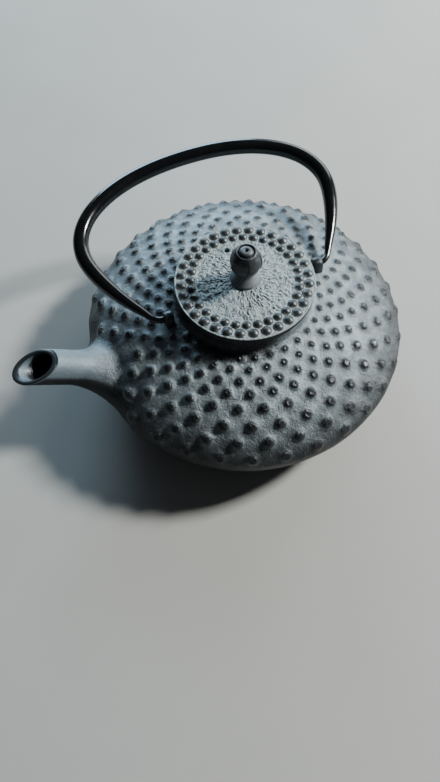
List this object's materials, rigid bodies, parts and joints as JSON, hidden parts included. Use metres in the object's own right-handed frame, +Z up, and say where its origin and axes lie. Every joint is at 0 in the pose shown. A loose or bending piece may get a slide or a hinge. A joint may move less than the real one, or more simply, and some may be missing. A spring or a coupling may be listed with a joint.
{
  "type": "cast iron teapot",
  "caption": "Squat cast iron teapot with a hobnailed body, curved spout, flat lid with a bud knob, a bail handle hooked through two lugs and a stainless tea basket.",
  "frame": {"origin": "centre of the flat base, on the surface the pot stands on", "axes": "+X towards the spout, along the line of the two lugs; +Z up; the handle is folded down towards -Y at rest"},
  "size_m": [0.2063, 0.1722, 0.0884],
  "materials": {
    "washed_iron": "pale blue-grey wash rubbed over black iron, matt, darker on the hobnail tips",
    "dark_iron": "charcoal, satin",
    "zinc_steel": "zinc plated",
    "black_enamel": "glossy black enamel on bent iron bar",
    "stainless": "bright stainless sheet and mesh"
  },
  "bodies": {
    "pot": {"pot_body": "washed_iron"},
    "handle": {"bail_handle": "black_enamel"},
    "basket": {"infuser_rim": "stainless", "infuser_wall": "stainless", "infuser_base": "stainless"},
    "lid": {"pot_lid": "washed_iron", "lid_knob": "dark_iron", "knob_washer": "zinc_steel", "knob_nut": "zinc_steel"}
  },
  "joints": [
    {"name": "handle_swing", "type": "hinge", "parent": "pot", "child": "handle", "pos_m": [0, 0, 0.0578], "axis": [-1, 0, 0], "range_deg": [0, 158.6]},
    {"name": "basket_lift", "type": "slide", "parent": "pot", "child": "basket", "axis": [0, 0, 1], "range_m": [0, 0.062]},
    {"name": "lid_lift", "type": "slide", "parent": "basket", "child": "lid", "axis": [0, 0, 1], "range_m": [0, 0.04]}
  ]
}
